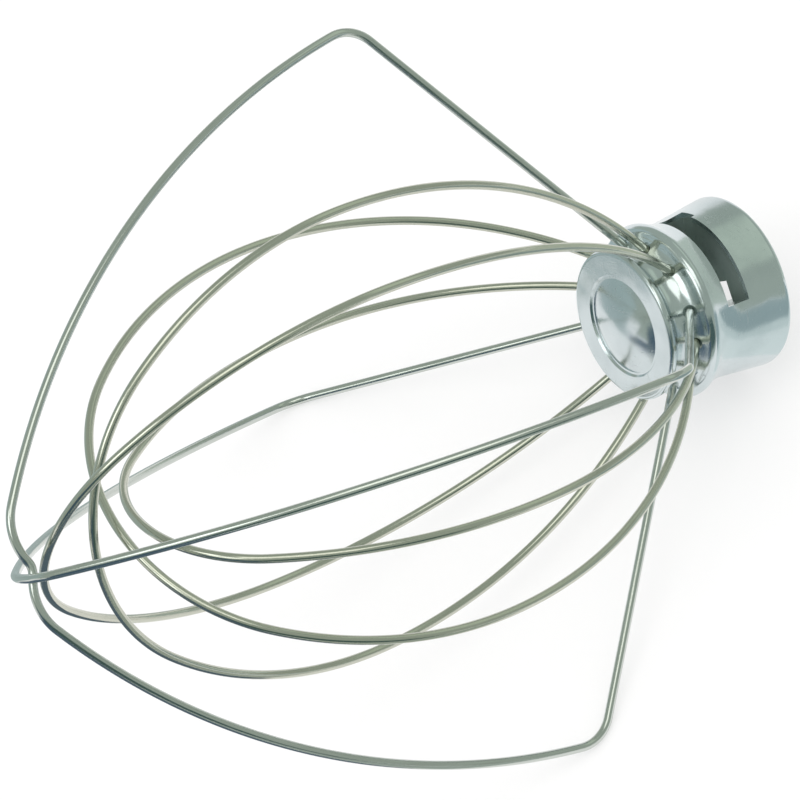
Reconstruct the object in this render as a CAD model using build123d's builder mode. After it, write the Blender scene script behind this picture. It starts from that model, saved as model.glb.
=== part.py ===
from build123d import *
from math import asin, atan2, cos, degrees, hypot, radians, sin, sqrt
import os

# Stand mixer wire whisk: a cast aluminium hub and six bent wire loops.
# Millimetres and degrees. The hub stands on its socket rim at z = 0 and the wires rise along +Z.

# Overall
overall_length = 154.1      # socket rim to the outside of the tip
wire_diameter = 1.6
seat_depth = 4.5            # length of each wire end inside the hub
seat_clearance = 0.05       # between a wire end and its drilled hole
tip_clearance = 0.5         # between the two outer wires at the tip, before they are leaned

# Hub outline, from the rim upwards
ridge_radius = 16.4         # the widest part of the hub
ridge_round = 1.5
rim_round = 1.0
neck_depth = 1.4            # the neck behind the ridge is this much smaller
neck_height = 11.8
rim_flare = 1.1             # the rim is this much wider than the neck
neck_to_waist = 11.0        # height of the waist above the neck
waist_depth = 4.2           # the waist in front of the ridge is this much smaller
shoulder_curve = 4.2        # hollow between waist and ridge, where the wires go in
disc_curve = 1.7            # hollow between waist and front disc
disc_step = 2.3             # the front disc is this much smaller than the ridge
disc_round = 0.75
dome_radius = 8.9
dome_height = 2.2
ring_width = 0.4            # flat bottom of the turned ring round the dome
ring_depth = 0.35
hole_angle = 42.0           # where the wire holes sit on the shoulder, up from its lowest line
mouth_lip = 0.4             # countersunk mouth of a wire hole, wider than the hole by this much all round
mouth_angle = 90.0

# Shaft socket with its bayonet slot
bore_diameter = 14.6
bore_chamfer = 0.6
shaft_nose = 2.5            # bore beyond the slot, for the end of the shaft
pin_width = 3.8             # keyway, notch and slot ends
keyway_depth = 2.6          # cut this far into the bore's wall
keyway_angle = -92.3
slot_floor = 8.5            # from the rim to the slot
slot_height = 4.5
slot_turn = 76.7            # from the keyway to the notch
notch_depth = 0.8           # pocket towards the rim where the pin comes to rest

# Outer loops: radii are from the axis, heights are from the wire holes
outer_reach = 66.4
corner_height = 41.5
corner_bend = 7.3
corner_lean = 8.6           # how far the corner bends past upright
outer_a_nose = 23.7         # the curve that the first outer wire's sides run on to
outer_b_nose = 15.0
dip_bend = 10.0             # on each side of the dip in the lower outer wire
dip_curve = 3.1
outer_a_lean = -0.3
outer_b_turn = 86.5         # from the first outer wire, about the axis
outer_b_lean = -0.5

# Inner loops, longest first: each tip lies one step below the tip before it
inner_1_step = 3.9
inner_1_reach = 44.1
inner_1_belly = 69.5        # height of the widest point
inner_1_nose = 33.8
inner_1_turn = -57.5
inner_1_lean = -0.8
inner_2_step = 8.3
inner_2_reach = 43.2
inner_2_belly = 63.8
inner_2_nose = 36.2
inner_2_turn = -26.5
inner_2_lean = 0.0
inner_3_step = 5.3
inner_3_reach = 42.4
inner_3_belly = 59.9
inner_3_nose = 36.1
inner_3_turn = -147.5
inner_3_lean = 0.0
inner_4_step = 5.7
inner_4_reach = 36.9
inner_4_belly = 49.8
inner_4_nose = 26.3
inner_4_turn = -120.0
inner_4_lean = 1.0

# Hub places that follow from the sizes above
neck_radius = ridge_radius - neck_depth
rim_radius = neck_radius + rim_flare
waist_radius = ridge_radius - waist_depth
waist_height = neck_height + neck_to_waist
disc_radius = ridge_radius - disc_step
slot_top = slot_floor + slot_height
bore_radius = bore_diameter / 2
cut_reach = ridge_radius + ridge_round

shoulder_centre = (waist_radius + shoulder_curve, waist_height)
disc_side_centre = (waist_radius + disc_curve, waist_height)
ridge_centre = (
    ridge_radius - ridge_round,
    waist_height
    - sqrt((shoulder_curve + ridge_round) ** 2 - (shoulder_centre[0] - ridge_radius + ridge_round) ** 2),
)
disc_centre = (
    disc_radius - disc_round,
    waist_height
    + sqrt((disc_curve + disc_round) ** 2 - (disc_side_centre[0] - disc_radius + disc_round) ** 2),
)
land_height = disc_centre[1] + disc_round
neck_inset = neck_radius - ridge_centre[0]
neck_rise = ridge_centre[1] - neck_height
neck_curve = (neck_inset**2 + neck_rise**2 - ridge_round**2) / (2 * (ridge_round - neck_inset))
neck_centre = (neck_radius + neck_curve, neck_height)

# The ring of wire holes and the height of the tip above it
hole_radius = shoulder_centre[0] - shoulder_curve * sin(radians(90 - hole_angle))
hole_height = shoulder_centre[1] - shoulder_curve * cos(radians(90 - hole_angle))
tip_height = overall_length - wire_diameter / 2 - hole_height
seat_radius = wire_diameter / 2 + seat_clearance
hole = (hole_radius, 0)


def direction(start, end):
    """Direction from one point to another, in degrees."""
    return degrees(atan2(end[1] - start[1], end[0] - start[0]))


def along(start, angle, length):
    """The point a length away from another, in a direction given in degrees."""
    return (start[0] + length * cos(radians(angle)), start[1] + length * sin(radians(angle)))


def arc_pair(centre, radius, start, end):
    """An arc right of the axis and its mirror image left of it."""
    CenterArc(centre, radius, start, end - start)
    CenterArc((-centre[0], centre[1]), radius, 180 - end, end - start)


def straight_pair(angle, end):
    """The straight ends of a loop, from inside the hub to the first bend, on both sides."""
    start = along(hole, angle, -seat_depth)
    Line(start, end)
    Line((-start[0], start[1]), (-end[0], end[1]))


def loop_plane(turn, lean):
    """The plane that a loop is bent in: upright through the axis, turned and leaned a little."""
    return Plane(Location((0, 0, hole_height), (90 + lean, 0, turn), Extrinsic.XYZ))


# Outer loops: corner, long side and nose, each running on smoothly from the one before
corner_centre = (outer_reach - corner_bend, corner_height)
hole_to_corner = hypot(corner_centre[0] - hole_radius, corner_centre[1])
outer_straight = direction(hole, corner_centre) - degrees(asin(corner_bend / hole_to_corner))
dip_height = tip_height - wire_diameter - tip_clearance


def side_curve(nose):
    """Centre and radius of the long side that runs on from the corner to a nose at the tip."""
    drop = (corner_centre[0], corner_centre[1] - tip_height + nose)
    difference = corner_bend - nose
    lean = radians(corner_lean)
    offset = (drop[0] ** 2 + drop[1] ** 2 - difference**2) / (
        2 * (difference + drop[0] * cos(lean) + drop[1] * sin(lean))
    )
    return along(corner_centre, corner_lean, -offset), corner_bend + offset


def draw_corners():
    """The straight ends and corners that both outer wires share."""
    straight_pair(outer_straight, along(corner_centre, outer_straight - 90, corner_bend))
    arc_pair(corner_centre, corner_bend, outer_straight - 90, corner_lean)


def draw_dipped_loop():
    """Centre line of the outer wire that dips under the other one at the tip."""
    side_centre, side_radius = side_curve(outer_a_nose)
    dip_centre = (0, dip_height + dip_curve)
    to_dip = hypot(dip_centre[0] - side_centre[0], dip_centre[1] - side_centre[1])
    to_bend = side_radius - dip_bend
    bend_to_dip = dip_bend + dip_curve
    share = (to_bend**2 + to_dip**2 - bend_to_dip**2) / (2 * to_bend * to_dip)
    bend_start = direction(side_centre, dip_centre) - degrees(atan2(sqrt(1 - share**2), share))
    bend_centre = along(side_centre, bend_start, to_bend)
    bend_end = direction(bend_centre, dip_centre)
    draw_corners()
    arc_pair(side_centre, side_radius, corner_lean, bend_start)
    arc_pair(bend_centre, dip_bend, bend_start, bend_end)
    CenterArc(dip_centre, dip_curve, bend_end - 180, 2 * (90 - bend_end))


def draw_nosed_loop():
    """Centre line of the outer wire that passes outside at the tip."""
    side_centre, side_radius = side_curve(outer_b_nose)
    nose_centre = (0, tip_height - outer_b_nose)
    nose_start = direction(side_centre, nose_centre)
    draw_corners()
    arc_pair(side_centre, side_radius, corner_lean, nose_start)
    CenterArc(nose_centre, outer_b_nose, nose_start, 180 - 2 * nose_start)


def lower_curve(reach, belly):
    """Centre and radius of the arc that runs from the hole to the belly of an inner loop."""
    spread = reach - hole_radius
    radius = (spread**2 + belly**2) / (2 * spread)
    return (reach - radius, belly), radius


def draw_inner_loop(tip, reach, belly, nose):
    """Centre line of an inner wire: seated end, lower curve, upper curve and nose."""
    lower_centre, lower_radius = lower_curve(reach, belly)
    leave = direction(lower_centre, hole)
    rise = tip - belly
    upper_radius = (reach**2 + rise**2 - 2 * rise * nose) / (2 * (reach - nose))
    upper_centre = (reach - upper_radius, belly)
    nose_middle = (0, tip - nose)
    turn_over = direction(upper_centre, nose_middle)
    straight_pair(leave + 90, hole)
    arc_pair(lower_centre, lower_radius, leave, 0)
    arc_pair(upper_centre, upper_radius, 0, turn_over)
    CenterArc(nose_middle, nose, turn_over, 180 - 2 * turn_over)


inner_1_tip = dip_height - inner_1_step
inner_2_tip = inner_1_tip - inner_2_step
inner_3_tip = inner_2_tip - inner_3_step
inner_4_tip = inner_3_tip - inner_4_step

# Each wire has a turn about the axis, a lean, the direction of its straight ends and a centre line
wires = {
    "outer_wire_a": (0, outer_a_lean, outer_straight, draw_dipped_loop),
    "outer_wire_b": (outer_b_turn, outer_b_lean, outer_straight, draw_nosed_loop),
}
inner_sizes = {
    "inner_wire_1": (inner_1_tip, inner_1_reach, inner_1_belly, inner_1_nose),
    "inner_wire_2": (inner_2_tip, inner_2_reach, inner_2_belly, inner_2_nose),
    "inner_wire_3": (inner_3_tip, inner_3_reach, inner_3_belly, inner_3_nose),
    "inner_wire_4": (inner_4_tip, inner_4_reach, inner_4_belly, inner_4_nose),
}
inner_places = {
    "inner_wire_1": (inner_1_turn, inner_1_lean),
    "inner_wire_2": (inner_2_turn, inner_2_lean),
    "inner_wire_3": (inner_3_turn, inner_3_lean),
    "inner_wire_4": (inner_4_turn, inner_4_lean),
}
for name, sizes in inner_sizes.items():
    _, reach, belly, _ = sizes
    straight = direction(lower_curve(reach, belly)[0], hole) + 90
    wires[name] = (*inner_places[name], straight, lambda sizes=sizes: draw_inner_loop(*sizes))

os.makedirs("parts", exist_ok=True)

# Six wire loops: a round section follows each centre line
for name, (turn, lean, _, draw_loop) in wires.items():
    with BuildPart() as wire:
        with BuildLine(loop_plane(turn, lean)) as centre_line:
            draw_loop()
        with BuildSketch(Plane(centre_line.wire() ^ 0)):
            Circle(wire_diameter / 2)
        sweep()
    wire.part.label = name
    export_step(wire.part, f"parts/{name}.step")


def pin_cut(angle, reach):
    """A straight cut of the pin's width, from the axis outwards."""
    with Locations(Location((0, 0, 0), (0, 0, angle))):
        Rectangle(reach, pin_width, align=(Align.MIN, Align.CENTER))


# Hub: turned outline, shaft socket with keyway, bayonet slot, and the wire holes
with BuildPart() as hub:
    with BuildSketch(Plane.XZ):
        with BuildLine():
            dome_base = land_height - ring_depth
            dome_edge = (dome_radius, dome_base)
            ring_edge = (dome_radius + ring_width, dome_base)
            land_edge = (dome_radius + ring_width + ring_depth, land_height)
            dome_top = (0, dome_base + dome_height)
            dome_curve = (dome_radius**2 + dome_height**2) / (2 * dome_height)
            dome_half = degrees(asin(dome_radius / dome_curve))
            CenterArc((0, dome_top[1] - dome_curve), dome_curve, 90, -dome_half)
            Line(dome_edge, ring_edge)
            Line(ring_edge, land_edge)
            Line(land_edge, (disc_centre[0], land_height))
            disc_end = direction(disc_centre, disc_side_centre)
            CenterArc(disc_centre, disc_round, 90, disc_end - 90)
            CenterArc(disc_side_centre, disc_curve, disc_end + 180, -disc_end)
            shoulder_end = direction(shoulder_centre, ridge_centre)
            CenterArc(shoulder_centre, shoulder_curve, 180, shoulder_end + 180)
            ridge_end = direction(ridge_centre, neck_centre)
            CenterArc(ridge_centre, ridge_round, shoulder_end + 180, ridge_end - shoulder_end - 180)
            rim_centre = (rim_radius - rim_round, rim_round)
            rim_to_neck = hypot(neck_centre[0] - rim_centre[0], neck_centre[1] - rim_centre[1])
            flare = direction(rim_centre, neck_centre) + degrees(asin((neck_curve + rim_round) / rim_to_neck))
            CenterArc(neck_centre, neck_curve, ridge_end + 180, flare - 90 - ridge_end)
            Line(along(neck_centre, flare + 90, neck_curve), along(rim_centre, flare - 90, rim_round))
            CenterArc(rim_centre, rim_round, flare - 90, -flare)
            Line((rim_centre[0], 0), (0, 0))
            Line((0, 0), dome_top)
        make_face()
    revolve(axis=Axis.Z)

    with BuildSketch(Plane.XY):
        Circle(bore_radius)
    extrude(amount=slot_top + shaft_nose, mode=Mode.SUBTRACT)
    chamfer(hub.edges().group_by(Axis.Z)[0].sort_by(SortBy.RADIUS)[0], bore_chamfer)
    with BuildSketch(Plane.XY):
        pin_cut(keyway_angle, bore_radius + keyway_depth)
    extrude(amount=slot_top, mode=Mode.SUBTRACT)

    with BuildSketch(Plane.XY.offset(slot_floor)):
        pin_cut(keyway_angle, cut_reach)
        pin_cut(keyway_angle + slot_turn, cut_reach)
        with BuildLine():
            slot_arc = CenterArc((0, 0), cut_reach, keyway_angle, slot_turn)
            Line((0, 0), slot_arc @ 0)
            Line((0, 0), slot_arc @ 1)
        make_face()
    extrude(amount=slot_height, mode=Mode.SUBTRACT)
    with BuildSketch(Plane.XY.offset(slot_floor - notch_depth)):
        pin_cut(keyway_angle + slot_turn, cut_reach)
    extrude(amount=notch_depth, mode=Mode.SUBTRACT)

    for turn, lean, straight, _ in wires.values():
        plane = loop_plane(turn, lean)
        run = along((0, 0), straight, 1)
        for side in (1, -1):
            mouth = plane.from_local_coords((side * hole_radius, 0, 0))
            outward = plane.from_local_coords((side * run[0], run[1], 0)) - plane.origin
            with Locations(Plane(origin=mouth, z_dir=outward)):
                mouth_radius = seat_radius + mouth_lip
                CounterSinkHole(seat_radius, mouth_radius, seat_depth + seat_clearance, mouth_angle)
hub.part.label = "hub"
export_step(hub.part, "parts/hub.step")
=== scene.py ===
from math import asin, atan2, cos, degrees, hypot, pi, radians, sin, sqrt

import bpy
from mathutils import Matrix, Vector


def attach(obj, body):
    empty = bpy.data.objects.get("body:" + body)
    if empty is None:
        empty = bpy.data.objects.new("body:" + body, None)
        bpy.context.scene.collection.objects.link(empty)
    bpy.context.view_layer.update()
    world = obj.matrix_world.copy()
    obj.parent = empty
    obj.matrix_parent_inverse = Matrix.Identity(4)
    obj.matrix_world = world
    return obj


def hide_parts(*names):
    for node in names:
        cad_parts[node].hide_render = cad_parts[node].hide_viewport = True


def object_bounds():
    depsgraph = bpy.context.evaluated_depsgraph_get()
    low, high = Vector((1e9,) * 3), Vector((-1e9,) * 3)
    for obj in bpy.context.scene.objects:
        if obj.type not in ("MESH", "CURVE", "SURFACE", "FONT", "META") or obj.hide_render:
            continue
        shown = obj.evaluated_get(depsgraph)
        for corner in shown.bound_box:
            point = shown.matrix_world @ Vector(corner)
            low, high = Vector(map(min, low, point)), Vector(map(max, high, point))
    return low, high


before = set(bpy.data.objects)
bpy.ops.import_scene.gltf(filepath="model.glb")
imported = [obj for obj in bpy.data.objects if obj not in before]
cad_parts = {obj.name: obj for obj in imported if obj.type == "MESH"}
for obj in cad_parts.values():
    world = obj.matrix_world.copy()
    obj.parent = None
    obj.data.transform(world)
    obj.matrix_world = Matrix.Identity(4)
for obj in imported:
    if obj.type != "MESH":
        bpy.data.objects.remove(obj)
cad_low, cad_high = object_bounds()

# A stand mixer's wire whisk: six bent steel loops seated in a polished cast hub.
# Sizes are in millimetres and become metres where a mesh or a material takes them.
MM = 0.001

# Wire, and the ring of holes that it is seated in
WIRE_DIAMETER = 1.6
WIRE_SIDES = 40
WIRE_STEP = 0.5             # distance between points along a bend
FEWEST_STEPS = 4            # in the shortest bend
SAME_PLACE = 0.0001         # points closer than this are one point
SEAT_DEPTH = 4.5
TIP_CLEARANCE = 0.5
HOLE_RADIUS = 13.28
HOLE_HEIGHT = 19.99
HOLE = (HOLE_RADIUS, 0.0)
TIP_HEIGHT = cad_high.z / MM - WIRE_DIAMETER / 2 - HOLE_HEIGHT

# Outer loops, heights from the wire holes
OUTER_REACH = 66.4
CORNER_HEIGHT = 41.5
CORNER_BEND = 7.3
CORNER_LEAN = 8.6
OUTER_A_NOSE = 23.7
OUTER_B_NOSE = 15.0
DIP_BEND = 10.0
DIP_CURVE = 3.1
DIP_HEIGHT = TIP_HEIGHT - WIRE_DIAMETER - TIP_CLEARANCE
OUTER_A_LEAN = -0.3
OUTER_B_TURN = 86.5
OUTER_B_LEAN = -0.5

# Inner loops, longest first; each tip is a step down from the one before
INNER_LOOPS = {
    "inner_wire_1": dict(step=3.9, reach=44.1, belly=69.5, nose=33.8, turn=-57.5, lean=-0.8),
    "inner_wire_2": dict(step=8.3, reach=43.2, belly=63.8, nose=36.2, turn=-26.5, lean=0.0),
    "inner_wire_3": dict(step=5.3, reach=42.4, belly=59.9, nose=36.1, turn=-147.5, lean=0.0),
    "inner_wire_4": dict(step=5.7, reach=36.9, belly=49.8, nose=26.3, turn=-120.0, lean=1.0),
}

# Smudges and hairline scratches, shared by the finishes
SMUDGE_SCALE = 90.0
SMUDGE_DETAIL = 4.0
SMUDGE_RANGE = (0.42, 0.68)
HAIRLINE_AXIS = (0.4, 0.5, 0.75)
HAIRLINE_TURNS = (0.5, 1.9)
HAIRLINE_STRETCH = (2600.0, 130.0, 700.0)
HAIRLINE_DETAIL = 2.0
HAIRLINE_RANGE = (0.66, 0.74)

# Drawn steel, dull in its fine lines and bright between them; the inner loops are a little
# warmer, a painted warm reflection on the same steel
OUTER_STEEL = ((0.53, 0.56, 0.525), (0.65, 0.685, 0.65))
INNER_STEEL_PAINTED_WARM = ((0.52, 0.53, 0.455), (0.64, 0.65, 0.565))
LINE_STRETCH = (5.0, 5.0, 60.0)
LINE_SCALE = 2.2
LINE_DETAIL = 5.0
LINE_RANGE = (0.3, 0.7)
LINE_STRENGTH = 0.12
LINE_DEPTH = 0.05
WIRE_ROUGHNESS = (0.10, 0.18)
WIRE_SMUDGE_DULLS = 0.08

# Polished casting of the hub, and the places that it changes at
SKIN_RADIUS = 14.4          # inside this is the socket or the slot, left as cast and darkened with painted shade
RIM_FACE = 0.25
SOCKET_TOP = 15.7
CLEAN_CASTING = (0.645, 0.71, 0.725)
SMUDGED_CASTING = (0.575, 0.64, 0.655)
# Socket and slot: a rougher as-cast surface, its colour darkened further as painted shade for the
# recess
AS_CAST_WITH_PAINTED_SHADE = (0.57, 0.625, 0.61)
CASTING_ROUGHNESS = 0.15
CASTING_SMUDGE_DULLS = 0.09
CASTING_HAIRLINE_DULLS = 0.16
AS_CAST_ROUGHNESS = 0.36
WAVE_SCALE = 150.0
WAVE_DETAIL = 1.0
WAVE_STRENGTH = 0.4
WAVE_DEPTH = 0.5
TURNING_PITCH = 0.12
TURNING_STRENGTH = 0.05
TURNING_DEPTH = 0.2         # depth of a turning line, as a share of its pitch

# Camera, at the photograph's angle
CAMERA_AZIMUTH = 5.54
CAMERA_ELEVATION = 29.25
CAMERA_ROLL = -112.22
CAMERA_DISTANCE = 974.3
CAMERA_AIM = (2.85, 0.28, 73.84)
CAMERA_LENS = 251.55
SENSOR_WIDTH = 36

# The table that the whisk lies on: it touches the rim and a corner of each outer loop
TABLE_UP = (0.608, -0.645, 0.464)
TABLE_DROP = 13.95          # from the middle of the rim straight down to the table
TABLE_RADIUS = 1500.0
TABLE_SIDES = 96
TABLE_COLOUR = (0.94, 0.94, 0.94)
TABLE_LIFT = 0.5            # share of plain white in what is seen; the rest takes the shadow
WHITE = (1.0, 1.0, 1.0)

# Room round the table, a glowing dome that only shows in the metal as a painted reflection
ROOM_RADIUS = 2500.0
ROOM_RINGS = 24
ROOM_SIDES = 48
ROOM_COLOUR = (0.41, 0.465, 0.415)

# Glowing cards that stand round the whisk and only show in the metal as painted reflections:
# colour, the two ends along the table's axes, bottom and top
STANDING_CARDS = {
    "blue_card": ((0.07, 0.12, 0.17), (-330, -385), (-90, -495), 0, 230),
    "white_card": (WHITE, (-453, -211), (-399, -301), 0, 105),
    "slate_card": ((0.44, 0.53, 0.52), (-600, 300), (-600, -310), 0, 310),
    "dark_wall": ((0.075, 0.125, 0.12), (-110, -560), (450, -409), 0, 300),
    "pale_wall": ((0.60, 0.68, 0.58), (600, 130), (30, 610), 330, 540),
}

# Glowing sheets that lie on the table and only show in the metal as painted reflections: colour,
# height over it and corners along the table's axes
SHEETS = {
    "blue_sheet": (
        (0.12, 0.17, 0.22), 0.6,
        [(-120, -78), (-400, -215), (-360, -347), (-90, -495), (-40, -115)],
    ),
    "slate_sheet": (
        (0.47, 0.55, 0.55), 0.3,
        [(-50, 30), (-600, 300), (-600, -300), (-130, -75), (-108, -27), (-80, -8)],
    ),
    "side_sheet": ((0.36, 0.45, 0.46), 0.3, [(46, -60), (900, -600), (900, 40), (46, 8)]),
    "side_strip": ((0.69, 0.77, 0.76), 0.3, [(29, -48), (46, -60), (46, 8), (29, 2)]),
    "pale_strip": ((0.83, 0.89, 0.88), 0.3, [(9, -36), (29, -48), (29, 2), (9, -4)]),
    "far_sheet": (
        (0.57, 0.64, 0.57), 0.4,
        [(34, 14), (900, 60), (900, 900), (60, 1000), (4, 44)],
    ),
    "white_sheet": (WHITE, 0.9, [(-236, -110), (-453, -211), (-399, -301), (-208, -156)]),
    "near_sheet": (
        (0.44, 0.50, 0.46), 0.5,
        [(-36, -112), (-90, -495), (420, -420), (300, -240), (60, -112)],
    ),
}

# Lamps: places along the table's axes, turn in degrees, and radiance beside a white card
LAMPS = {
    "window": dict(
        middle=(-472, -524, 971), toward=(0, 0, 0), width=540, length=600, turn=-45,
        radiance=1.6, colour=WHITE,
    ),
    "ceiling_lamp": dict(
        middle=(110, -90, 900), toward=(110, -90, 0), width=520, length=560, turn=0,
        radiance=1.1, colour=(1.0, 0.98, 0.92),
    ),
}


def direction(start, end):
    """Direction from one point of a loop's plane to another, in degrees."""
    return degrees(atan2(end[1] - start[1], end[0] - start[0]))


def along(start, angle, length):
    """The point a length away from another, in a direction given in degrees."""
    return (start[0] + length * cos(radians(angle)), start[1] + length * sin(radians(angle)))


def bend(centre, radius, start, end):
    """Points on an arc, close enough together to look round."""
    count = max(FEWEST_STEPS, round(radians(abs(end - start)) * radius / WIRE_STEP))
    return [along(centre, start + (end - start) * i / count, radius) for i in range(count + 1)]


def whole_loop(half):
    """A loop's centre line from one seated end to the other, from the half right of the axis."""
    points = []
    for x, z in half + [(-x, z) for x, z in reversed(half)]:
        if not points or hypot(x - points[-1][0], z - points[-1][1]) > SAME_PLACE:
            points.append((x, z))
    return points


def outer_side(nose_radius):
    """Seated end and corner of an outer loop, its long side's centre and radius, and its nose."""
    corner = (OUTER_REACH - CORNER_BEND, CORNER_HEIGHT)
    nose = (0.0, TIP_HEIGHT - nose_radius)
    drop = (corner[0], corner[1] - nose[1])
    difference = CORNER_BEND - nose_radius
    lean = radians(CORNER_LEAN)
    offset = (drop[0] ** 2 + drop[1] ** 2 - difference**2) / (
        2 * (difference + drop[0] * cos(lean) + drop[1] * sin(lean))
    )
    side_radius = CORNER_BEND + offset
    side = along(corner, CORNER_LEAN, -offset)
    to_corner = hypot(corner[0] - HOLE_RADIUS, corner[1])
    rise = direction(HOLE, corner) - degrees(asin(CORNER_BEND / to_corner))
    half = [along(HOLE, rise, -SEAT_DEPTH)] + bend(corner, CORNER_BEND, rise - 90, CORNER_LEAN)
    return half, side, side_radius, nose


def nosed_loop():
    """The outer loop that passes outside at the tip."""
    half, side, side_radius, nose = outer_side(OUTER_B_NOSE)
    turn_over = direction(side, nose)
    half += bend(side, side_radius, CORNER_LEAN, turn_over)
    return whole_loop(half + bend(nose, OUTER_B_NOSE, turn_over, 90))


def dipped_loop():
    """The outer loop that dips under the other one at the tip."""
    half, side, side_radius, _ = outer_side(OUTER_A_NOSE)
    dip = (0.0, DIP_HEIGHT + DIP_CURVE)
    to_dip = hypot(dip[0] - side[0], dip[1] - side[1])
    to_bend = side_radius - DIP_BEND
    reach = DIP_BEND + DIP_CURVE
    share = (to_bend**2 + to_dip**2 - reach**2) / (2 * to_bend * to_dip)
    bend_start = direction(side, dip) - degrees(atan2(sqrt(1 - share**2), share))
    bend_centre = along(side, bend_start, to_bend)
    bend_end = direction(bend_centre, dip)
    half += bend(side, side_radius, CORNER_LEAN, bend_start)
    half += bend(bend_centre, DIP_BEND, bend_start, bend_end)
    return whole_loop(half + bend(dip, DIP_CURVE, bend_end + 180, 270))


def inner_loop(tip, reach, belly, nose):
    """An inner loop: seated end, lower curve, upper curve and nose."""
    spread = reach - HOLE_RADIUS
    lower_radius = (spread**2 + belly**2) / (2 * spread)
    lower = (reach - lower_radius, belly)
    leave = direction(lower, HOLE)
    rise = tip - belly
    upper_radius = (reach**2 + rise**2 - 2 * rise * nose) / (2 * (reach - nose))
    upper = (reach - upper_radius, belly)
    nose_centre = (0.0, tip - nose)
    turn_over = direction(upper, nose_centre)
    half = [along(HOLE, leave + 90, -SEAT_DEPTH)] + bend(lower, lower_radius, leave, 0)
    half += bend(upper, upper_radius, 0, turn_over)
    return whole_loop(half + bend(nose_centre, nose, turn_over, 90))


def loop_place(turn, lean):
    """The plane that a loop is bent in: upright through the axis, turned and leaned a little."""
    return (
        Matrix.Translation((0, 0, HOLE_HEIGHT * MM))
        @ Matrix.Rotation(radians(turn), 4, "Z")
        @ Matrix.Rotation(radians(90 + lean), 4, "X")
    )


def all_loops():
    """Name, centre line and place of every wire."""
    loops = {
        "outer_wire_a": (dipped_loop(), loop_place(0, OUTER_A_LEAN)),
        "outer_wire_b": (nosed_loop(), loop_place(OUTER_B_TURN, OUTER_B_LEAN)),
    }
    tip = DIP_HEIGHT
    for name, size in INNER_LOOPS.items():
        tip -= size["step"]
        line = inner_loop(tip, size["reach"], size["belly"], size["nose"])
        loops[name] = (line, loop_place(size["turn"], size["lean"]))
    return loops


def drawn_wire_tree():
    """Geometry nodes that run a round section along a centre line and note places on the wire."""
    tree = bpy.data.node_groups.new("drawn_wire", "GeometryNodeTree")
    for label, kind in (
        ("Geometry", "Geometry"), ("Radius", "Float"), ("Sides", "Int"), ("Finish", "Material")
    ):
        tree.interface.new_socket(label, in_out="INPUT", socket_type="NodeSocket" + kind)
    tree.interface.new_socket("Geometry", in_out="OUTPUT", socket_type="NodeSocketGeometry")
    nodes, links = tree.nodes, tree.links
    given = nodes.new("NodeGroupInput")
    made = nodes.new("NodeGroupOutput")
    section = nodes.new("GeometryNodeCurvePrimitiveCircle")
    on_wire = nodes.new("GeometryNodeSplineParameter")
    on_section = nodes.new("GeometryNodeSplineParameter")
    keep_length = nodes.new("GeometryNodeCaptureAttribute")
    keep_turn = nodes.new("GeometryNodeCaptureAttribute")
    for keep, label in ((keep_length, "Length"), (keep_turn, "Turn")):
        keep.domain = "POINT"
        keep.capture_items.new("FLOAT", label)
    tube = nodes.new("GeometryNodeCurveToMesh")
    tube.inputs["Fill Caps"].default_value = True
    angle = nodes.new("ShaderNodeMath")
    angle.operation = "MULTIPLY"
    angle.inputs[1].default_value = 2 * pi
    cosine = nodes.new("ShaderNodeMath")
    cosine.operation = "COSINE"
    sine = nodes.new("ShaderNodeMath")
    sine.operation = "SINE"
    place = nodes.new("ShaderNodeCombineXYZ")
    note = nodes.new("GeometryNodeStoreNamedAttribute")
    note.data_type = "FLOAT_VECTOR"
    note.domain = "POINT"
    note.inputs["Name"].default_value = "wire_place"
    smooth = nodes.new("GeometryNodeSetShadeSmooth")
    realize = nodes.new("GeometryNodeRealizeInstances")
    finish = nodes.new("GeometryNodeSetMaterial")
    links.new(given.outputs["Sides"], section.inputs["Resolution"])
    links.new(given.outputs["Radius"], section.inputs["Radius"])
    links.new(given.outputs["Geometry"], keep_length.inputs["Geometry"])
    links.new(on_wire.outputs["Length"], keep_length.inputs["Length"])
    links.new(section.outputs["Curve"], keep_turn.inputs["Geometry"])
    links.new(on_section.outputs["Factor"], keep_turn.inputs["Turn"])
    links.new(keep_length.outputs["Geometry"], tube.inputs["Curve"])
    links.new(keep_turn.outputs["Geometry"], tube.inputs["Profile Curve"])
    links.new(keep_turn.outputs["Turn"], angle.inputs[0])
    links.new(angle.outputs[0], cosine.inputs[0])
    links.new(angle.outputs[0], sine.inputs[0])
    links.new(cosine.outputs[0], place.inputs["X"])
    links.new(sine.outputs[0], place.inputs["Y"])
    links.new(keep_length.outputs["Length"], place.inputs["Z"])
    links.new(tube.outputs["Mesh"], note.inputs["Geometry"])
    links.new(place.outputs["Vector"], note.inputs["Value"])
    links.new(note.outputs["Geometry"], smooth.inputs["Geometry"])
    links.new(smooth.outputs["Geometry"], realize.inputs["Geometry"])
    links.new(realize.outputs["Geometry"], finish.inputs["Geometry"])
    links.new(given.outputs["Finish"], finish.inputs["Material"])
    links.new(finish.outputs["Geometry"], made.inputs["Geometry"])
    return tree


def centre_line(name, points, place):
    """A curve object that follows a loop's centre line, in metres."""
    curve = bpy.data.curves.new(name + "_line", "CURVE")
    curve.dimensions = "3D"
    spline = curve.splines.new("POLY")
    spline.points.add(len(points) - 1)
    for point, (x, z) in zip(spline.points, points):
        point.co = (*(place @ Vector((x * MM, z * MM, 0))), 1)
    line = bpy.data.objects.new(name + "_line", curve)
    bpy.context.scene.collection.objects.link(line)
    return line


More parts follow.
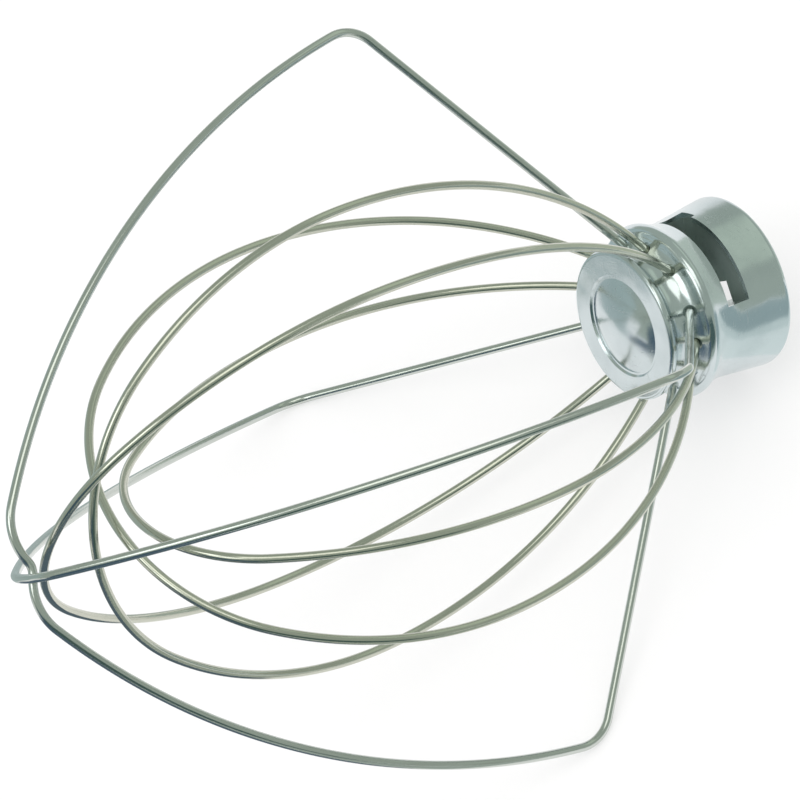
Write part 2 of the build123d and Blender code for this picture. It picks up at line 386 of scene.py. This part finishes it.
def bent_wire(name, points, place, tree, finish):
    """One wire loop as a plain mesh that stands for its node."""
    line = centre_line(name, points, place)
    modifier = line.modifiers.new("drawn_wire", "NODES")
    modifier.node_group = tree
    sockets = {s.name: s.identifier for s in tree.interface.items_tree if s.in_out == "INPUT"}
    modifier[sockets["Radius"]] = WIRE_DIAMETER / 2 * MM
    modifier[sockets["Sides"]] = WIRE_SIDES
    modifier[sockets["Finish"]] = finish
    graph = bpy.context.evaluated_depsgraph_get()
    mesh = bpy.data.meshes.new_from_object(line.evaluated_get(graph))
    mesh.name = name + "_loop"
    bpy.data.objects.remove(line)
    loop = bpy.data.objects.new(name + "_loop", mesh)
    bpy.context.scene.collection.objects.link(loop)
    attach(loop, "root")
    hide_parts(name)


def add(tree, kind, links=(), **values):
    """A shader node with its settings, and the sockets that it takes from other nodes."""
    node = tree.nodes.new("ShaderNode" + kind)
    for name, value in values.items():
        setattr(node, name, value)
    for socket, source in dict(links).items():
        if hasattr(source, "node"):
            tree.links.new(source, node.inputs[socket])
        else:
            node.inputs[socket].default_value = source
    return node


def maths(tree, operation, *values):
    """The result of a sum on numbers or sockets."""
    return add(tree, "Math", enumerate(values), operation=operation).outputs["Value"]


def stretched(tree, vector, stretch):
    """A place, stretched along its axes."""
    node = add(tree, "VectorMath", {0: vector, 1: stretch}, operation="MULTIPLY")
    return node.outputs["Vector"]


def noise(tree, vector, scale, detail):
    """Cloudy noise over a place."""
    node = add(tree, "TexNoise", {"Vector": vector, "Scale": scale, "Detail": detail})
    return node.outputs["Fac"]


def spread(tree, value, given, made=(0.0, 1.0)):
    """A value's given range, spread over another and cut off at its ends."""
    node = add(tree, "MapRange", {
        "Value": value, "From Min": given[0], "From Max": given[1],
        "To Min": made[0], "To Max": made[1],
    })
    return node.outputs["Result"]


def blend(tree, factor, places, colours):
    """A colour between two, as a factor runs from one place to the other."""
    node = add(tree, "ValToRGB", {"Fac": factor})
    for element, place, colour in zip(node.color_ramp.elements, places, colours):
        element.position = place
        element.color = (*colour, 1)
    return node.outputs["Color"]


def new_material(name):
    """A material, its node tree and its shader."""
    material = bpy.data.materials.new(name)
    material.use_nodes = True
    tree = material.node_tree
    return material, tree, tree.nodes["Principled BSDF"]


def handling_marks():
    """Shader group shared by the finishes: cloudy smudges from hands, and hairline scratches."""
    group = bpy.data.node_groups.new("handling_marks", "ShaderNodeTree")
    group.interface.new_socket("Place", in_out="INPUT", socket_type="NodeSocketVector")
    group.interface.new_socket("Smudge", in_out="OUTPUT", socket_type="NodeSocketFloat")
    group.interface.new_socket("Hairline", in_out="OUTPUT", socket_type="NodeSocketFloat")
    place = group.nodes.new("NodeGroupInput").outputs["Place"]
    made = group.nodes.new("NodeGroupOutput")
    smudge = spread(group, noise(group, place, SMUDGE_SCALE, SMUDGE_DETAIL), SMUDGE_RANGE)
    hairs = []
    for turn in HAIRLINE_TURNS:
        swing = {"Vector": place, "Axis": HAIRLINE_AXIS, "Angle": turn}
        swung = add(group, "VectorRotate", swing).outputs["Vector"]
        streak = noise(group, stretched(group, swung, HAIRLINE_STRETCH), 1.0, HAIRLINE_DETAIL)
        hairs.append(spread(group, streak, HAIRLINE_RANGE))
    hairline = maths(group, "MAXIMUM", *hairs)
    group.links.new(smudge, made.inputs["Smudge"])
    group.links.new(hairline, made.inputs["Hairline"])
    return group


def drawn_steel(name, dull, bright, marks):
    """Drawn stainless wire: fine lines run along it, with handling marks over them."""
    material, tree, shader = new_material(name)
    shader.inputs["Metallic"].default_value = 1
    on_wire = add(tree, "Attribute", attribute_name="wire_place").outputs["Vector"]
    lines = noise(tree, stretched(tree, on_wire, LINE_STRETCH), LINE_SCALE, LINE_DETAIL)
    wear = add(tree, "Group", node_tree=marks)
    tree.links.new(add(tree, "TexCoord").outputs["Object"], wear.inputs["Place"])
    tone = blend(tree, lines, LINE_RANGE, (dull, bright))
    tree.links.new(tone, shader.inputs["Base Color"])
    drawn = spread(tree, lines, LINE_RANGE, WIRE_ROUGHNESS)
    rough = maths(tree, "MULTIPLY_ADD", wear.outputs["Smudge"], WIRE_SMUDGE_DULLS, drawn)
    tree.links.new(rough, shader.inputs["Roughness"])
    relief = add(tree, "Bump", {
        "Height": lines, "Strength": LINE_STRENGTH, "Distance": LINE_DEPTH * MM,
    })
    tree.links.new(relief.outputs["Normal"], shader.inputs["Normal"])
    return material


def polished_casting(marks):
    """Polished cast aluminium: slightly wavy, turned on the front, as cast in socket and slot,
    where its colour is darkened as painted shade.
    """
    material, tree, shader = new_material("polished_casting")
    shader.inputs["Metallic"].default_value = 1
    place = add(tree, "TexCoord").outputs["Object"]
    parts = add(tree, "SeparateXYZ", {"Vector": place})
    flat = add(tree, "CombineXYZ", {"X": parts.outputs["X"], "Y": parts.outputs["Y"]})
    length = add(tree, "VectorMath", {0: flat.outputs["Vector"]}, operation="LENGTH")
    radius = length.outputs["Value"]
    height = parts.outputs["Z"]

    in_skin = maths(tree, "LESS_THAN", radius, SKIN_RADIUS * MM)
    over_rim = maths(tree, "GREATER_THAN", height, RIM_FACE * MM)
    under_crown = maths(tree, "LESS_THAN", height, SOCKET_TOP * MM)
    low_inside = maths(tree, "MULTIPLY", in_skin, over_rim)
    inside = maths(tree, "MULTIPLY", low_inside, under_crown)

    wear = add(tree, "Group", node_tree=marks)
    tree.links.new(place, wear.inputs["Place"])
    smudge, hairline = wear.outputs["Smudge"], wear.outputs["Hairline"]
    tone = blend(tree, smudge, (0.0, 1.0), (CLEAN_CASTING, SMUDGED_CASTING))
    # inside the socket and slot the colour is the darker one: painted shade over the as-cast
    # surface
    colour = add(
        tree, "Mix", {"Factor": inside, "A": tone, "B": (*AS_CAST_WITH_PAINTED_SHADE, 1)}, data_type="RGBA"
    )
    tree.links.new(colour.outputs["Result"], shader.inputs["Base Color"])
    shine = maths(tree, "MULTIPLY_ADD", smudge, CASTING_SMUDGE_DULLS, CASTING_ROUGHNESS)
    scuffed = maths(tree, "MULTIPLY_ADD", hairline, CASTING_HAIRLINE_DULLS, shine)
    rough = add(
        tree, "Mix", {"Factor": inside, "A": scuffed, "B": AS_CAST_ROUGHNESS}, data_type="FLOAT"
    )
    tree.links.new(rough.outputs["Result"], shader.inputs["Roughness"])

    wavy = add(tree, "Bump", {
        "Height": noise(tree, place, WAVE_SCALE, WAVE_DETAIL),
        "Strength": WAVE_STRENGTH, "Distance": WAVE_DEPTH * MM,
    })
    turned = add(tree, "Bump", {
        "Height": maths(tree, "PINGPONG", radius, TURNING_PITCH * MM),
        "Strength": TURNING_STRENGTH, "Distance": TURNING_DEPTH,
        "Normal": wavy.outputs["Normal"],
    })
    tree.links.new(turned.outputs["Normal"], shader.inputs["Normal"])
    return material


def photo_camera():
    """The camera, at the photograph's angle and turn."""
    azimuth, elevation = radians(CAMERA_AZIMUTH), radians(CAMERA_ELEVATION)
    across = cos(elevation)
    back = Vector((sin(azimuth) * across, -cos(azimuth) * across, sin(elevation)))
    level = (-back).to_track_quat("-Z", "Y").to_matrix()
    turned = level @ Matrix.Rotation(radians(CAMERA_ROLL), 3, "Z")
    data = bpy.data.cameras.new("photo_camera")
    data.lens = CAMERA_LENS
    data.sensor_width = SENSOR_WIDTH
    camera = bpy.data.objects.new("photo_camera", data)
    place = Vector(CAMERA_AIM) * MM + back * CAMERA_DISTANCE * MM
    camera.matrix_world = Matrix.Translation(place) @ turned.to_4x4()
    bpy.context.scene.collection.objects.link(camera)
    bpy.context.scene.camera = camera


def table_place():
    """The table's own axes: across and up the photograph along it, and straight up from it."""
    up = Vector(TABLE_UP).normalized()
    picture_up = bpy.context.scene.camera.matrix_world.to_3x3() @ Vector((0, 1, 0))
    away = (picture_up - picture_up.dot(up) * up).normalized()
    across = away.cross(up)
    turn = Matrix((across, away, up)).transposed().to_4x4()
    return Matrix.Translation(-up * TABLE_DROP * MM) @ turn


def stage_mesh(name, points, faces, material):
    """A mesh of the stage, its points along the table's axes."""
    place = table_place()
    mesh = bpy.data.meshes.new(name)
    mesh.from_pydata([place @ (Vector(p) * MM) for p in points], [], faces)
    mesh.materials.append(material)
    thing = bpy.data.objects.new(name, mesh)
    bpy.context.scene.collection.objects.link(thing)
    return thing


def ring(radius, sides, height):
    """Points round the table's middle."""
    turns = [2 * pi * i / sides for i in range(sides)]
    return [(radius * cos(turn), radius * sin(turn), height) for turn in turns]


def white_table():
    """A plain white table, open from below so that the whisk can be seen from there too."""
    material, tree, shader = new_material("white_table")
    shader.inputs["Base Color"].default_value = (*TABLE_COLOUR, 1)
    shader.inputs["Roughness"].default_value = 1
    shader.inputs["Specular IOR Level"].default_value = 0
    path = add(tree, "LightPath").outputs
    seen = maths(tree, "MAXIMUM", path["Is Camera Ray"], path["Is Glossy Ray"])
    shown = maths(tree, "MAXIMUM", seen, path["Is Transmission Ray"])
    lift = maths(tree, "MULTIPLY", shown, TABLE_LIFT)
    white = add(tree, "Emission", {"Color": (*WHITE, 1), "Strength": 1.0})
    lit = add(
        tree, "MixShader", {0: lift, 1: shader.outputs["BSDF"], 2: white.outputs["Emission"]}
    )
    below = add(tree, "NewGeometry").outputs["Backfacing"]
    clear = add(tree, "BsdfTransparent")
    top = add(
        tree, "MixShader", {0: below, 1: lit.outputs["Shader"], 2: clear.outputs["BSDF"]}
    )
    tree.links.new(top.outputs["Shader"], tree.nodes["Material Output"].inputs["Surface"])
    rim = ring(TABLE_RADIUS, TABLE_SIDES, 0)
    stage_mesh("white_table", rim, [list(range(TABLE_SIDES))], material)


def painted_reflection_glow(name, colour):
    """The glowing plain colour of a card, sheet or wall that only shows in the metal: a painted
    reflection.
    """
    material, tree, shader = new_material(name)
    tree.nodes.remove(shader)
    glow = add(tree, "Emission", {"Color": (*colour, 1), "Strength": 1.0})
    tree.links.new(glow.outputs["Emission"], tree.nodes["Material Output"].inputs["Surface"])
    return material


def only_in_metal(name, points, faces, colour):
    """A glowing stage mesh out of the picture and the light, that only shows where metal mirrors
    it, as a painted reflection.
    """
    thing = stage_mesh(name, points, faces, painted_reflection_glow(name, colour))
    thing.visible_camera = False
    thing.visible_diffuse = False
    thing.visible_shadow = False
    thing.visible_transmission = False


def grey_room():
    """Walls and ceiling round the table, as a glowing dome seen only as a painted reflection in
    the metal.
    """
    points, faces = [], []
    for i in range(ROOM_RINGS + 1):
        rise = pi / 2 * i / ROOM_RINGS
        points += ring(ROOM_RADIUS * cos(rise), ROOM_SIDES, ROOM_RADIUS * sin(rise))
    for i in range(ROOM_RINGS):
        low, high = i * ROOM_SIDES, (i + 1) * ROOM_SIDES
        for j in range(ROOM_SIDES):
            k = (j + 1) % ROOM_SIDES
            faces.append((low + j, low + k, high + k, high + j))
    only_in_metal("grey_room", points, faces, ROOM_COLOUR)


def standing_card(name, colour, left, right, bottom, top):
    """A flat glowing card that stands on or over the table, seen only as a painted reflection in
    the metal.
    """
    corners = [(*left, bottom), (*right, bottom), (*right, top), (*left, top)]
    only_in_metal(name, corners, [list(range(len(corners)))], colour)


def lying_sheet(name, colour, height, corners):
    """A flat glowing sheet that lies on the table, seen only as a painted reflection in the
    metal.
    """
    points = [(*corner, height) for corner in corners]
    only_in_metal(name, points, [list(range(len(points)))], colour)


def soft_lamp(name, middle, toward, width, length, turn, radiance, colour):
    """A soft rectangular lamp, as bright as a white card times its radiance."""
    data = bpy.data.lights.new(name, "AREA")
    data.shape = "RECTANGLE"
    data.size = length * MM
    data.size_y = width * MM
    data.energy = radiance * pi * data.size * data.size_y
    data.color = colour
    lamp = bpy.data.objects.new(name, data)
    place = table_place()
    aim = (place @ (Vector(toward) * MM)) - (place @ (Vector(middle) * MM))
    level = place.to_3x3() @ Vector((cos(radians(turn)), sin(radians(turn)), 0))
    back = -aim.normalized()
    right = (level - level.dot(back) * back).normalized()
    axes = Matrix((right, back.cross(right), back)).transposed().to_4x4()
    lamp.matrix_world = Matrix.Translation(place @ (Vector(middle) * MM)) @ axes
    lamp.visible_camera = False
    bpy.context.scene.collection.objects.link(lamp)


def white_world():
    """Plain white light from all round."""
    world = bpy.data.worlds.new("white_world")
    bpy.context.scene.world = world
    world.use_nodes = True
    background = world.node_tree.nodes["Background"]
    background.inputs["Color"].default_value = (*WHITE, 1)
    background.inputs["Strength"].default_value = 1


marks = handling_marks()
outer_finish = drawn_steel("outer_wire_steel", *OUTER_STEEL, marks)
# the inner loops are the same steel, tinted warmer as a painted reflection
inner_steel_painted_warm = drawn_steel("inner_wire_steel_painted_warm", *INNER_STEEL_PAINTED_WARM, marks)
wire_tree = drawn_wire_tree()
for name, (points, place) in all_loops().items():
    finish = inner_steel_painted_warm if name in INNER_LOOPS else outer_finish
    bent_wire(name, points, place, wire_tree, finish)

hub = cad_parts["hub"]
hub.material_slots[0].material = polished_casting(marks)

photo_camera()
white_world()
white_table()
grey_room()
for name, card in STANDING_CARDS.items():
    standing_card(name, *card)
for name, sheet in SHEETS.items():
    lying_sheet(name, *sheet)
for name, lamp in LAMPS.items():
    soft_lamp(name, **lamp)
bpy.context.scene.view_settings.view_transform = "Standard"
